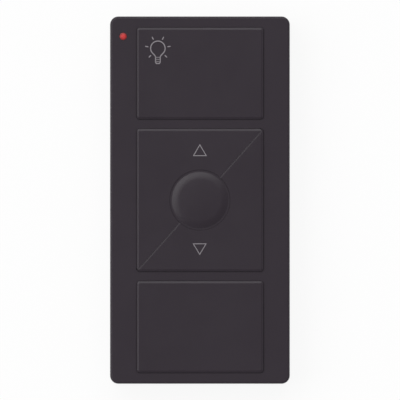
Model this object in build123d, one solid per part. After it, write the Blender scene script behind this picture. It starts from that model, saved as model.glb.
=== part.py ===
from build123d import *
import os
from math import atan2, degrees, hypot, sqrt

# Wireless dimmer remote: two snapped shells, five sprung buttons, a circuit board and a coin cell
# behind a sliding door. Millimetres. The remote lies on its back: +Z points out of the button face,
# +Y towards the indicator end, and the origin is the middle of the rear face.

# Outside of the handset
LENGTH = 66.0
WIDTH = 32.3
CORNER_R = 1.5
FACE_EDGE_R = 0.4
REAR_BEVEL = 0.6
DRAFT = 1.0  # degrees, both ways from the parting line
PARTING_BREAK = 0.12  # bevel on both edges of the parting line

# Walls of the two shells and the lip that lines them up
WALL = 1.2
FACE_WALL = 0.9
REAR_WALL = 1.0
LIP_T = 0.5
LIP_H = 0.7
LIP_RUN = 0.08
LIP_STOP = 3.0  # the lip runs along the straight sides and stops this far from each corner

# Stack from the rear face to the tops of the buttons
DOOR_T = 1.0
DOOR_RUN = 0.12
CELL_T = 3.2
CONTACT_ROOM = 0.25
BOARD_T = 0.6
DOME_RISE = 0.35
DOME_GAP = 0.03
NUB_H = 0.3
FLANGE_T = 0.45
FLANGE_REST = 0.05
CAP_PROUD = 0.3

# Button openings in the face and the keycaps that fill them
SIDE_BORDER = 4.75
SPLIT_OPENING_H = 25.66
OPENING_R = 0.6
BUTTON_GAP = 0.18
FLANGE_LAP = 0.45
FLANGE_ROOM = 0.38  # from a flange to the end wall
FLANGE_APART = 0.74  # between the flanges of neighbouring openings
TRAVEL = 0.3
STOP_GAP = 0.08
CAP_EDGE_R = 0.3
CAP_WALL = 0.8
CAP_TOP_T = 0.55
CAP_RIB_T = 0.7
CAP_RIB_SHY = 0.2  # ribs stop this far above the flange's underside
NUB_W = 2.0
SPLIT_GAP = 0.16
SPLIT_BREAK = 0.1  # bevel along the diagonal and round the hole
SPLIT_NUB_X = 5.7
SPLIT_NUB_Y = 8.5

# Round button in the middle of the split pair
ROUND_R = 5.15
ROUND_GAP = 0.4
ROUND_LAP = 0.5
ROUND_FLANGE_T = 0.35
ROUND_CLEAR = 2.0  # room round the flange, under the split pair
ROUND_SHY = 0.05  # its shoulder stands this far below the tops of the split pair
ROUND_BEVEL_W = 1.0
ROUND_BEVEL_H = 0.32
ROUND_CROWN = 0.12
ROUND_BLEND_R = 2.0

# Guides and board posts inside the front shell
GUIDE_RUN = 0.2
GUIDE_T = 0.7
POST_R = 0.8
POST_FROM_END = 8.0
PIN_R = 0.45
PIN_RUN = 0.05
PIN_PROUD = 0.3
BOARD_CLEAR = 0.5
BOARD_R = 0.6

# Indicator in the corner of the face
LENS_FROM_SIDE = 2.39
LENS_FROM_END = 3.64
LENS_R = 0.65
LENS_FIT = 0.03
LENS_SHOULDER = 0.25
LENS_CROWN = 0.1
LAMP_W = 0.8
LAMP_L = 1.6
LAMP_H = 0.5
LAMP_BASE_H = 0.2
LAMP_GAP = 0.1

# Snap domes and their spacer film: each dome is a square sheet that stands on its four corners
DOME_W = 4.2
DOME_TOP_W = 1.8
DOME_T = 0.1
DOME_LEG = 0.9
DOME_ARCH = 0.12  # height of the arches between the legs
SPACER_T = 0.1
SPACER_RUN = 0.2

# Snap hooks on the rear shell and the pockets that catch them
HOOK_FROM_END = 16.0
HOOK_W = 3.0
HOOK_T = 0.8
HOOK_GAP = 0.15
HOOK_ROOM = 0.1
BARB = 0.45
BARB_H = 0.6
CATCH_RUN = 0.05
LEDGE_T = 0.5

# Battery bay, its deck and the sliding door
CELL_D = 20.0
CELL_CLEAR = 0.2
CELL_BEVEL = 0.3
CELL_CAP_D = 17.6
CELL_CAP_H = 0.25
BAY_END = 4.0  # from the lower end to the rim of the cell
BAY_TOP = 3.5  # from the rim of the cell to the upper edge of the door
DECK_T = 0.8
DECK_WALL = 0.8
WELL_T = 0.8
WELL_GAP = 0.1
PRY_R = 2.0
DOOR_SIDE = 1.4
RAIL_LIP = 0.45
TONGUE = 0.8
END_TONGUE = 1.2
END_TONGUE_W = 12.0
GRIP_COUNT = 6
GRIP_PITCH = 1.3
GRIP_L = 10.0
GRIP_DEPTH = 0.3
GRIP_FROM_EDGE = 4.0

# Hanger slot in the rear face: a tab enters the window and slides up behind the lips
HANGER_FROM_END = 9.0
HANGER_W = 9.0
HANGER_NECK = 5.0
HANGER_WINDOW = 5.0
HANGER_RUN = 5.5
HANGER_GAP = 1.2
HANGER_WALL = 0.8

# Posts that hold the board up against the guides
SUPPORT_W = 2.0
SUPPORT_FROM_END = 3.8

# Spring contacts of the cell
CONTACT_T = 0.15
CONTACT_W = 4.0
CONTACT_TOUCH = 0.02
CONTACT_FOOT = 3.0
CONTACT_BEND_R = 0.15
CONTACT_SLOT = 0.3
LEAF_REACH = 4.0
LEAF_TIP = 1.0
LEAF_CURL = 0.08

# Parts on the rear of the board
CHIP_ROW_Y = 5.5
CONTROLLER = (5.0, 5.0, 0.9)
CONTROLLER_FROM_SIDE = 8.4
RADIO = (4.0, 4.0, 0.85)
RADIO_FROM_SIDE = 12.0
CRYSTAL = (3.2, 2.5, 0.75)
CRYSTAL_FROM_SIDE = 6.0
CRYSTAL_LID_INSET = 0.25
CRYSTAL_BASE_H = 0.4
CHIP_BEVEL = 0.12
CAPACITOR = (1.0, 0.5, 0.5)
CAPACITOR_COUNT = 7
CAPACITOR_PITCH = 2.4
CAPACITOR_DROP = 4.6  # row of capacitors below the row of chips
ANTENNA_W = 19.0
ANTENNA_H = 15.5
ANTENNA_TRACK = 1.2
ANTENNA_T = 0.07
ANTENNA_SPLIT = 2.0
ANTENNA_FROM_END = 4.5

# Levels that follow from the stack
DECK_Z = DOOR_T + DOOR_RUN
DECK_TOP = DECK_Z + DECK_T
CELL_TOP = DECK_Z + CELL_T
BOARD_Z = CELL_TOP + CONTACT_ROOM
BOARD_TOP = BOARD_Z + BOARD_T
NUB_Z = BOARD_TOP + DOME_RISE + DOME_GAP
FLANGE_Z = NUB_Z + NUB_H
CEILING_Z = FLANGE_Z + FLANGE_T + FLANGE_REST
FACE_Z = CEILING_Z + FACE_WALL
CAP_Z = FACE_Z + CAP_PROUD
CAP_UNDER_Z = CAP_Z - CAP_TOP_T
ROUND_Z = CAP_UNDER_Z - STOP_GAP - TRAVEL - ROUND_FLANGE_T
CATCH_Z = BOARD_Z - HOOK_ROOM - BARB_H
REBATE_TOP = CATCH_Z - CATCH_RUN - LEDGE_T
PARTING_Z = REBATE_TOP - LIP_RUN - LIP_H

# Places that follow from the outline
HALF_L = LENGTH / 2
HALF_W = WIDTH / 2
INNER_X = HALF_W - WALL
INNER_Y = HALF_L - WALL
OPENING_W = WIDTH - 2 * SIDE_BORDER
END_BORDER = WALL + FLANGE_LAP + FLANGE_ROOM
RAIL = 2 * FLANGE_LAP + FLANGE_APART
OUTER_OPENING_H = (LENGTH - SPLIT_OPENING_H) / 2 - END_BORDER - RAIL
OUTER_Y = HALF_L - END_BORDER - OUTER_OPENING_H / 2
HOLE_R = ROUND_R + ROUND_GAP
GUIDE_X = OPENING_W / 2 + FLANGE_LAP + GUIDE_RUN
POST_X = GUIDE_X + POST_R
POST_Y = HALF_L - POST_FROM_END
BOARD_HALF_W = INNER_X - BOARD_CLEAR
BOARD_HALF_L = INNER_Y - BOARD_CLEAR
CONTROLLER_X = CONTROLLER_FROM_SIDE - BOARD_HALF_W
RADIO_X = BOARD_HALF_W - RADIO_FROM_SIDE
CRYSTAL_X = BOARD_HALF_W - CRYSTAL_FROM_SIDE
LENS_X = LENS_FROM_SIDE - HALF_W
LENS_Y = HALF_L - LENS_FROM_END
HOOK_Y = HALF_L - HOOK_FROM_END
CELL_R = CELL_D / 2
CELL_Y = BAY_END + CELL_R - HALF_L
WELL_R = CELL_R + CELL_CLEAR
DOOR_HALF = CELL_R + DOOR_SIDE
DOOR_EDGE_Y = CELL_Y + CELL_R + BAY_TOP
DECK_EDGE_Y = DOOR_EDGE_Y + END_TONGUE + DOOR_RUN + DECK_WALL
TONGUE_T = DOOR_T - RAIL_LIP - DOOR_RUN
DIAGONAL = hypot(OPENING_W, SPLIT_OPENING_H)
DIAGONAL_ANGLE = degrees(atan2(SPLIT_OPENING_H, OPENING_W))
THROUGH = 2.0  # how far a cut runs past the face that it opens
ROUND_SHARE = 0.9  # most of a corner that a rounded edge may take

NUBS = {
    "on": (0.0, OUTER_Y),
    "raise": (-SPLIT_NUB_X, SPLIT_NUB_Y),
    "favourite": (0.0, 0.0),
    "lower": (SPLIT_NUB_X, -SPLIT_NUB_Y),
    "off": (0.0, -OUTER_Y),
}
OPENINGS = [
    (OUTER_Y, OUTER_OPENING_H),
    (0.0, SPLIT_OPENING_H),
    (-OUTER_Y, OUTER_OPENING_H),
]
LOCATORS = [(POST_X, POST_Y), (-POST_X, -POST_Y)]
SIDES = (-1, 1)


# Shared shapes


def block(x_low, x_high, y_low, y_high, z_low, z_high):
    """A box between six planes."""
    size = (x_high - x_low, y_high - y_low, z_high - z_low)
    return Pos(x_low, y_low, z_low) * Box(*size, align=(Align.MIN, Align.MIN, Align.MIN))


def square_post(width, x, y, z_low, z_high):
    """An upright square post between two levels."""
    reach = width / 2
    return block(x - reach, x + reach, y - reach, y + reach, z_low, z_high)


def column(radius, x, y, z_low, z_high):
    """An upright cylinder between two levels."""
    at_foot = (Align.CENTER, Align.CENTER, Align.MIN)
    return Pos(x, y, z_low) * Cylinder(radius, z_high - z_low, align=at_foot)


def rounded_prism(width, length, radius, z_low, z_high):
    """An upright prism with rounded corners, centred on Z."""
    return Pos(0, 0, z_low) * extrude(RectangleRounded(width, length, radius), z_high - z_low)


def side_strips(outer, inner, stop, z_low, z_high):
    """Four straight strips between two insets from the outline, each stopping short of the corners."""
    along_y = block(HALF_W - inner, HALF_W - outer, stop - HALF_L, HALF_L - stop, z_low, z_high)
    along_x = block(stop - HALF_W, HALF_W - stop, HALF_L - inner, HALF_L - outer, z_low, z_high)
    return along_y + along_y.mirror(Plane.YZ) + along_x + along_x.mirror(Plane.XZ)


def turned(profile):
    """A solid of revolution about Z from a closed outline drawn in the XZ plane."""
    return revolve(Plane.XZ * make_face(profile), Axis.Z)


def four_corners(x, y):
    """The four mirror images of a point about the handset's middle."""
    return [(side * x, end * y) for side in SIDES for end in SIDES]


# Shells


def front_envelope():
    """Drafted outside of the front shell, rounded at the face."""
    outline = RectangleRounded(WIDTH, LENGTH, CORNER_R)
    body = Pos(0, 0, PARTING_Z) * extrude(outline, FACE_Z - PARTING_Z, taper=DRAFT)
    body = fillet(body.faces().sort_by(Axis.Z)[-1].edges(), FACE_EDGE_R)
    return chamfer(body.faces().sort_by(Axis.Z)[0].edges(), PARTING_BREAK)


def rear_envelope():
    """Drafted outside of the rear shell, bevelled at the rear face."""
    outline = RectangleRounded(WIDTH, LENGTH, CORNER_R)
    body = Pos(0, 0, PARTING_Z) * extrude(outline, PARTING_Z, dir=(0, 0, -1), taper=DRAFT)
    body = chamfer(body.faces().sort_by(Axis.Z)[0].edges(), REAR_BEVEL)
    return chamfer(body.faces().sort_by(Axis.Z)[-1].edges(), PARTING_BREAK)


def front_housing():
    """Bezel shell with the button openings, lens hole, button guides, board posts and catch pockets."""
    shell = front_envelope() - block(-INNER_X, INNER_X, -INNER_Y, INNER_Y, PARTING_Z - THROUGH, CEILING_Z)
    rebate = WALL - LIP_T - LIP_RUN
    shell -= side_strips(rebate, WALL + LIP_RUN, LIP_STOP - LIP_RUN, PARTING_Z - THROUGH, REBATE_TOP)
    for side in SIDES:
        near, far = sorted((side * GUIDE_X, side * (GUIDE_X + GUIDE_T)))
        shell += block(near, far, -INNER_Y, INNER_Y, BOARD_TOP, CEILING_Z)
    for x, y in LOCATORS:
        shell += column(POST_R, x, y, BOARD_TOP, CEILING_Z)
        shell += column(PIN_R, x, y, BOARD_Z - PIN_PROUD, BOARD_TOP)
    for y, height in OPENINGS:
        shell -= Pos(0, y, 0) * rounded_prism(OPENING_W, height, OPENING_R, CEILING_Z, FACE_Z + THROUGH)
    shell -= column(LENS_R + LENS_FIT, LENS_X, LENS_Y, CEILING_Z, FACE_Z + THROUGH)
    pocket_depth = INNER_X - HOOK_GAP + BARB + CATCH_RUN
    for end in SIDES:
        low, high = end * HOOK_Y - HOOK_W / 2 - HOOK_GAP, end * HOOK_Y + HOOK_W / 2 + HOOK_GAP
        shell -= block(-pocket_depth, pocket_depth, low, high, CATCH_Z - CATCH_RUN, BOARD_Z)
    return shell


def snap_hook(side):
    """One upright arm with an outward barb, standing against the side wall at Y zero."""
    outer = INNER_X - HOOK_GAP
    arm = Polyline(
        (outer - HOOK_T, REAR_WALL / 2),
        (outer, REAR_WALL / 2),
        (outer, CATCH_Z),
        (outer + BARB, CATCH_Z),
        (outer, CATCH_Z + BARB_H),
        (outer - HOOK_T, CATCH_Z + BARB_H),
        close=True,
    )
    hook = extrude(Plane.XZ * make_face(arm), HOOK_W / 2, both=True)
    return hook if side > 0 else hook.mirror(Plane.YZ)


def door_channel():
    """Space that the sliding door runs in, open at the lower end."""
    low = -HALF_L - THROUGH
    half = DOOR_HALF + DOOR_RUN
    tongue_z = RAIL_LIP
    channel = block(-half, half, low, DOOR_EDGE_Y + DOOR_RUN, -THROUGH, DECK_Z)
    channel += block(-half - TONGUE, half + TONGUE, low, DOOR_EDGE_Y + DOOR_RUN, tongue_z, DECK_Z)
    end_half = END_TONGUE_W / 2 + DOOR_RUN
    end_y = DOOR_EDGE_Y + END_TONGUE + DOOR_RUN
    return channel + block(-end_half, end_half, DOOR_EDGE_Y, end_y, tongue_z, DECK_Z)


def hanger_levels():
    """Lower end, step and upper end of the hanger slot along Y."""
    top = HALF_L - HANGER_FROM_END
    step = top - HANGER_RUN
    return step - HANGER_WINDOW, step, top


def hanger_box():
    """Closed box behind the rear face that the hanger slot is cut into."""
    low, _, top = hanger_levels()
    half = HANGER_W / 2 + HANGER_WALL
    roof = REAR_WALL + HANGER_GAP + HANGER_WALL
    return block(-half, half, low - HANGER_WALL, top + HANGER_WALL, REAR_WALL / 2, roof)


def hanger_slot():
    """Window, neck and the undercut space behind the lips."""
    low, step, top = hanger_levels()
    space = block(-HANGER_W / 2, HANGER_W / 2, low, top, REAR_WALL, REAR_WALL + HANGER_GAP)
    space += block(-HANGER_W / 2, HANGER_W / 2, low, step, -THROUGH, REAR_WALL)
    neck = HANGER_NECK / 2
    space += block(-neck, neck, step, top - neck, -THROUGH, REAR_WALL)
    return space + column(neck, 0, top - neck, -THROUGH, REAR_WALL)


def rear_housing():
    """Rear shell with the lip, battery well, door channel, hanger slot, board supports and snap hooks."""
    shell = rear_envelope() - block(-INNER_X, INNER_X, -INNER_Y, INNER_Y, REAR_WALL, PARTING_Z + THROUGH)
    shell += side_strips(WALL - LIP_T, WALL, LIP_STOP, PARTING_Z - LIP_T, PARTING_Z + LIP_H)
    shell += block(-INNER_X, INNER_X, -INNER_Y, DECK_EDGE_Y, REAR_WALL / 2, DECK_TOP)
    shell += column(WELL_R + WELL_T, 0, CELL_Y, DECK_Z, BOARD_Z - WELL_GAP)
    shell += hanger_box()
    support_x = GUIDE_X + GUIDE_T / 2
    for x, y in four_corners(support_x, HALF_L - SUPPORT_FROM_END):
        shell += square_post(SUPPORT_W, x, y, REAR_WALL / 2, BOARD_Z)
    for side in SIDES:
        for end in SIDES:
            shell += Pos(0, end * HOOK_Y, 0) * snap_hook(side)
    shell -= column(WELL_R, 0, CELL_Y, -THROUGH, BOARD_Z)
    shell -= column(PRY_R, 0, CELL_Y - WELL_R, DECK_Z, BOARD_Z)
    slot = CONTACT_W / 2 + CONTACT_SLOT
    shell -= block(-slot, slot, CELL_Y + CELL_R, CELL_Y + WELL_R + WELL_T, DECK_TOP, BOARD_Z)
    return shell - door_channel() - hanger_slot()


def battery_door():
    """Sliding plate with side tongues, an end tongue and thumb grooves."""
    plate = block(-DOOR_HALF, DOOR_HALF, -HALF_L, DOOR_EDGE_Y, 0, DOOR_T)
    tongue_z = DOOR_T - TONGUE_T
    tongue_x = DOOR_HALF + TONGUE
    plate += block(-tongue_x, tongue_x, -HALF_L, DOOR_EDGE_Y, tongue_z, DOOR_T)
    plate = plate & rear_envelope()
    end_half = END_TONGUE_W / 2
    plate += block(-end_half, end_half, DOOR_EDGE_Y, DOOR_EDGE_Y + END_TONGUE, tongue_z, DOOR_T)
    groove = Rot(45, 0, 0) * Box(GRIP_L, sqrt(2) * GRIP_DEPTH, sqrt(2) * GRIP_DEPTH)
    for step in range(GRIP_COUNT):
        plate -= Pos(0, DOOR_EDGE_Y - GRIP_FROM_EDGE - step * GRIP_PITCH, 0) * groove
    return plate


# Buttons


def keycap_blank(height):
    """Solid keycap for an opening of the given height, rounded on top, with its retaining flange."""
    corner = OPENING_R - BUTTON_GAP
    cap = rounded_prism(OPENING_W - 2 * BUTTON_GAP, height - 2 * BUTTON_GAP, corner, FLANGE_Z, CAP_Z)
    edge_r = min(CAP_EDGE_R, ROUND_SHARE * corner)
    cap = fillet(cap.faces().sort_by(Axis.Z)[-1].edges(), edge_r)
    x, y = OPENING_W / 2 + FLANGE_LAP, height / 2 + FLANGE_LAP
    return cap + block(-x, x, -y, y, FLANGE_Z, FLANGE_Z + FLANGE_T)


def keycap_hollow(height):
    """Space cored out of a keycap from below."""
    width = OPENING_W - 2 * BUTTON_GAP - 2 * CAP_WALL
    length = height - 2 * BUTTON_GAP - 2 * CAP_WALL
    return block(-width / 2, width / 2, -length / 2, length / 2, FLANGE_Z, CAP_UNDER_Z)


def cross_rib(y):
    """Stiffening rib across a keycap."""
    half = OPENING_W / 2 - BUTTON_GAP - CAP_WALL
    return block(-half, half, y - CAP_RIB_T / 2, y + CAP_RIB_T / 2, FLANGE_Z + CAP_RIB_SHY, CAP_UNDER_Z)


def wide_button(y):
    """Full-width keycap with a middle nub on crossed ribs."""
    length = OUTER_OPENING_H / 2 - BUTTON_GAP - CAP_WALL
    spine = block(-CAP_RIB_T / 2, CAP_RIB_T / 2, -length, length, FLANGE_Z + CAP_RIB_SHY, CAP_UNDER_Z)
    cap = keycap_blank(OUTER_OPENING_H) - (keycap_hollow(OUTER_OPENING_H) - cross_rib(0) - spine)
    return Pos(0, y, 0) * (cap + square_post(NUB_W, 0, 0, NUB_Z, CAP_UNDER_Z))


def diagonal_bar(width, z_low, z_high):
    """Upright slab along the diagonal of the split opening."""
    return Rot(0, 0, DIAGONAL_ANGLE) * block(-DIAGONAL, DIAGONAL, -width / 2, width / 2, z_low, z_high)


def split_buttons():
    """The two halves of the middle keycap, parted by a bevelled diagonal and a round hole."""
    hollow = keycap_hollow(SPLIT_OPENING_H) - diagonal_bar(SPLIT_GAP + 2 * CAP_WALL, FLANGE_Z, CAP_UNDER_Z)
    hollow = hollow - cross_rib(SPLIT_NUB_Y) - cross_rib(-SPLIT_NUB_Y)
    pad = keycap_blank(SPLIT_OPENING_H) - hollow
    pad -= column(HOLE_R + ROUND_LAP + ROUND_CLEAR, 0, 0, FLANGE_Z, CAP_UNDER_Z)
    for name in ("raise", "lower"):
        pad += square_post(NUB_W, *NUBS[name], NUB_Z, CAP_UNDER_Z)
    pad -= column(HOLE_R, 0, 0, FLANGE_Z, CAP_Z + THROUGH)
    rim = Cone(HOLE_R, HOLE_R + SPLIT_BREAK, SPLIT_BREAK, align=(Align.CENTER, Align.CENTER, Align.MIN))
    pad -= Pos(0, 0, CAP_Z - SPLIT_BREAK) * rim
    groove_side = sqrt(2) * (SPLIT_GAP / 2 + SPLIT_BREAK)
    groove = Rot(45, 0, 0) * Box(2 * DIAGONAL, groove_side, groove_side)
    pad -= Pos(0, 0, CAP_Z) * Rot(0, 0, DIAGONAL_ANGLE) * groove
    pad -= diagonal_bar(SPLIT_GAP, NUB_Z - THROUGH, CAP_Z + THROUGH)
    lower, upper = pad.solids().sort_by(Axis.Y)
    return {"raise_button": upper, "lower_button": lower}


def round_button():
    """Crowned round keycap, turned in one profile with its flange, on a square nub."""
    flange_r = HOLE_R + ROUND_LAP
    shoulder_z = CAP_Z - ROUND_SHY
    bevel_z = shoulder_z + ROUND_BEVEL_H
    bevel_r = ROUND_R - ROUND_BEVEL_W
    top_z = bevel_z + ROUND_CROWN
    sides = Polyline(
        (0, top_z),
        (0, ROUND_Z),
        (flange_r, ROUND_Z),
        (flange_r, ROUND_Z + ROUND_FLANGE_T),
        (ROUND_R, ROUND_Z + ROUND_FLANGE_T),
        (ROUND_R, shoulder_z),
        (bevel_r, bevel_z),
    )
    crown_radius = (bevel_r**2 + ROUND_CROWN**2) / (2 * ROUND_CROWN)
    crown = RadiusArc((bevel_r, bevel_z), (0, top_z), -crown_radius)
    cap = turned(sides + crown)
    rim = cap.edges().filter_by(GeomType.CIRCLE).sort_by_distance((0, bevel_r, bevel_z))[0]
    return fillet(rim, ROUND_BLEND_R) + square_post(NUB_W, *NUBS["favourite"], NUB_Z, ROUND_Z)


# Board, domes and indicator


def circuit_board():
    """Board with holes for the two locating pins."""
    board = rounded_prism(2 * BOARD_HALF_W, 2 * BOARD_HALF_L, BOARD_R, BOARD_Z, BOARD_TOP)
    for x, y in LOCATORS:
        board -= column(PIN_R + PIN_RUN, x, y, BOARD_Z, BOARD_TOP)
    return board


def snap_dome(x, y):
    """Square metal sheet raised to a flat top, arched between four legs that stand on the board."""
    near, far = (DOME_W - DOME_TOP_W) / 2, (DOME_W + DOME_TOP_W) / 2
    at_foot = (Align.CENTER, Align.MIN, Align.CENTER)
    mound = Rot(90, 0, 0) * Wedge(DOME_W, DOME_RISE, DOME_W, near, near, far, far, align=at_foot)
    sheet = mound - Pos(0, 0, -DOME_T) * mound
    span, reach = DOME_W / 2 - DOME_LEG, DOME_W / 2 + THROUGH
    sheet -= block(-span, span, -reach, reach, -DOME_T, DOME_ARCH)
    sheet -= block(-reach, reach, -span, span, -DOME_T, DOME_ARCH)
    return Pos(x, y, BOARD_TOP) * sheet


def dome_spacer():
    """Film on the board with a square window round each dome."""
    half_w = GUIDE_X - SPACER_RUN
    half_l = HALF_L - END_BORDER
    film = block(-half_w, half_w, -half_l, half_l, BOARD_TOP, BOARD_TOP + SPACER_T)
    for x, y in NUBS.values():
        film -= square_post(DOME_W + 2 * SPACER_RUN, x, y, BOARD_TOP, BOARD_TOP + SPACER_T)
    return film


def indicator_lens():
    """Light pipe with a shoulder under the face and a low crown above it."""
    low = BOARD_TOP + LAMP_H + LAMP_GAP
    sides = Polyline(
        (0, FACE_Z + LENS_CROWN),
        (0, low),
        (LENS_R + LENS_SHOULDER, low),
        (LENS_R + LENS_SHOULDER, CEILING_Z),
        (LENS_R, CEILING_Z),
        (LENS_R, FACE_Z),
    )
    crown_radius = (LENS_R**2 + LENS_CROWN**2) / (2 * LENS_CROWN)
    crown = RadiusArc((LENS_R, FACE_Z), (0, FACE_Z + LENS_CROWN), -crown_radius)
    return Pos(LENS_X, LENS_Y, 0) * turned(sides + crown)


def indicator_lamp():
    """Surface-mount lamp: a flat base and a narrower moulded window."""
    at_foot = (Align.CENTER, Align.CENTER, Align.MIN)
    base = Box(LAMP_W, LAMP_L, LAMP_BASE_H, align=at_foot)
    window = Box(LAMP_W, LAMP_L - LAMP_W, LAMP_H, align=at_foot)
    return Pos(LENS_X, LENS_Y, BOARD_TOP) * (base + window)


# Battery and the parts on the rear of the board


def coin_cell():
    """Sealed coin cell: a bevelled can to the rear and a stepped cap to the front."""
    step_z = CELL_T - CELL_CAP_H
    cap_r = CELL_CAP_D / 2
    section = Polyline(
        (0, 0),
        (CELL_R - CELL_BEVEL, 0),
        (CELL_R, CELL_BEVEL),
        (CELL_R, step_z - CELL_BEVEL),
        (CELL_R - CELL_BEVEL, step_z),
        (cap_r, step_z),
        (cap_r, CELL_T),
        (0, CELL_T),
        close=True,
    )
    return Pos(0, CELL_Y, DECK_Z) * turned(section)


def positive_contact():
    """Folded strip: a foot on the board and a leg down the rim of the cell."""
    near = CELL_Y + CELL_R + CONTACT_TOUCH
    strip = Polyline(
        (near, DECK_TOP + CONTACT_SLOT),
        (near + CONTACT_T, DECK_TOP + CONTACT_SLOT),
        (near + CONTACT_T, BOARD_Z - CONTACT_T),
        (near + CONTACT_FOOT, BOARD_Z - CONTACT_T),
        (near + CONTACT_FOOT, BOARD_Z),
        (near, BOARD_Z),
        close=True,
    )
    leg = extrude(Plane.YZ * make_face(strip), CONTACT_W / 2, both=True)
    bends = leg.edges().filter_by(Axis.X)
    inside = bends.sort_by_distance((0, near + CONTACT_T, BOARD_Z - CONTACT_T))[0]
    leg = fillet(inside, CONTACT_BEND_R)
    outside = leg.edges().filter_by(Axis.X).sort_by_distance((0, near, BOARD_Z))[0]
    return fillet(outside, CONTACT_BEND_R + CONTACT_T)


def negative_contact():
    """Leaf on the board that bows down to the cap of the cell."""
    low = CELL_TOP + CONTACT_TOUCH
    bend = -LEAF_REACH / 4
    leaf = Polyline(
        (-LEAF_REACH, BOARD_Z),
        (-LEAF_REACH, BOARD_Z - CONTACT_T),
        (bend, BOARD_Z - CONTACT_T),
        (LEAF_REACH - LEAF_TIP, low),
        (LEAF_REACH, low + LEAF_CURL),
        (LEAF_REACH, low + LEAF_CURL + CONTACT_T),
        (LEAF_REACH - LEAF_TIP, low + CONTACT_T),
        (bend, BOARD_Z),
        close=True,
    )
    return Pos(0, CELL_Y, 0) * extrude(Plane.XZ * make_face(leaf), CONTACT_W / 2, both=True)


def chip(size, x):
    """Flat chip package hung under the board, with bevelled lower edges."""
    body = Box(*size, align=(Align.CENTER, Align.CENTER, Align.MAX))
    body = chamfer(body.faces().sort_by(Axis.Z)[0].edges(), CHIP_BEVEL)
    return Pos(x, CHIP_ROW_Y, BOARD_Z) * body


def crystal():
    """Ceramic base with a narrower metal lid."""
    width, length, height = CRYSTAL
    base = Pos(CRYSTAL_X, CHIP_ROW_Y, BOARD_Z - CRYSTAL_BASE_H / 2) * Box(width, length, CRYSTAL_BASE_H)
    lid_size = (width - 2 * CRYSTAL_LID_INSET, length - 2 * CRYSTAL_LID_INSET, height - CRYSTAL_BASE_H)
    return base + Pos(CRYSTAL_X, CHIP_ROW_Y, BOARD_Z - (height + CRYSTAL_BASE_H) / 2) * Box(*lid_size)


def chip_capacitors():
    """A row of small ceramic blocks below the chips."""
    y = CHIP_ROW_Y - CAPACITOR_DROP
    first = -CAPACITOR_PITCH * (CAPACITOR_COUNT - 1) / 2
    places = [first + CAPACITOR_PITCH * step for step in range(CAPACITOR_COUNT)]
    return Compound([Pos(x, y, BOARD_Z - CAPACITOR[2] / 2) * Box(*CAPACITOR) for x in places])


def antenna_loop():
    """Printed copper loop, split at its lower side where it is fed."""
    centre_y = HALF_L - ANTENNA_FROM_END - ANTENNA_H / 2
    inner = (ANTENNA_W - 2 * ANTENNA_TRACK, ANTENNA_H - 2 * ANTENNA_TRACK)
    loop = Rectangle(ANTENNA_W, ANTENNA_H) - Rectangle(*inner)
    loop -= Pos(0, -ANTENNA_H / 2) * Rectangle(ANTENNA_SPLIT, 2 * ANTENNA_TRACK + ANTENNA_T)
    return Pos(0, centre_y, BOARD_Z - ANTENNA_T) * extrude(loop, ANTENNA_T)


def pieces():
    """Every piece of the remote by name."""
    made = {
        "front_housing": front_housing(),
        "rear_housing": rear_housing(),
        "battery_door": battery_door(),
        "on_button": wide_button(OUTER_Y),
        "off_button": wide_button(-OUTER_Y),
        **split_buttons(),
        "favourite_button": round_button(),
        "circuit_board": circuit_board(),
        "dome_spacer": dome_spacer(),
        "indicator_lens": indicator_lens(),
        "indicator_lamp": indicator_lamp(),
        "coin_cell": coin_cell(),
        "positive_contact": positive_contact(),
        "negative_contact": negative_contact(),
        "controller_chip": chip(CONTROLLER, CONTROLLER_X),
        "radio_chip": chip(RADIO, RADIO_X),
        "crystal": crystal(),
        "chip_capacitors": chip_capacitors(),
        "antenna_loop": antenna_loop(),
    }
    for name, (x, y) in NUBS.items():
        made[name + "_dome"] = snap_dome(x, y)
    return made


os.makedirs("parts", exist_ok=True)
for name, shape in pieces().items():
    export_step(shape, f"parts/{name}.step")
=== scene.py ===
"""Dresses the wireless dimmer remote: finishes, printed signs, sprung domes and board details."""

import logging
import math
from dataclasses import dataclass
from enum import Enum
from functools import cache
from itertools import cycle
from typing import Any

import bmesh
import bpy
from mathutils import Matrix, Vector


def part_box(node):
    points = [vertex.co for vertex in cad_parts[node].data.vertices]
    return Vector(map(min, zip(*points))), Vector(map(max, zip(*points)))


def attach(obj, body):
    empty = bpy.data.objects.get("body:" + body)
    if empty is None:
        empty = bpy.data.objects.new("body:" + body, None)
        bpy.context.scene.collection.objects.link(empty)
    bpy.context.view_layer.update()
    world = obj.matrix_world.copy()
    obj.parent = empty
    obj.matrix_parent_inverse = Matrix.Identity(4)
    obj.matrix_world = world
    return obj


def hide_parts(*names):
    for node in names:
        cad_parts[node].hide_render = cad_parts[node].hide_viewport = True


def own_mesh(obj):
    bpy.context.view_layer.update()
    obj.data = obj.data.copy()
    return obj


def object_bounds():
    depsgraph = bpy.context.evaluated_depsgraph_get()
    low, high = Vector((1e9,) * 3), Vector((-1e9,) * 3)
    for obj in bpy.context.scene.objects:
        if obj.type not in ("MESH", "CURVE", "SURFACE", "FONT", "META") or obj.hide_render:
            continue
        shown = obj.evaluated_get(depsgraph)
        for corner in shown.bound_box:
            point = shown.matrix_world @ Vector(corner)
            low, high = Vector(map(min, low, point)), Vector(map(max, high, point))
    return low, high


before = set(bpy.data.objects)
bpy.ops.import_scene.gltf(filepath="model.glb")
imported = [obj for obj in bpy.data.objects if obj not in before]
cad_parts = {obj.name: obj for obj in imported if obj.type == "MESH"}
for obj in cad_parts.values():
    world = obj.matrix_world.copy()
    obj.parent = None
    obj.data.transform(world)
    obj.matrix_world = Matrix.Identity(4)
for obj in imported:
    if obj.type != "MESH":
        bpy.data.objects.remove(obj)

CAD_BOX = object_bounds()
LOG = logging.getLogger("remote")
MM = 0.001
MERGE_DISTANCE = 1e-7
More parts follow.
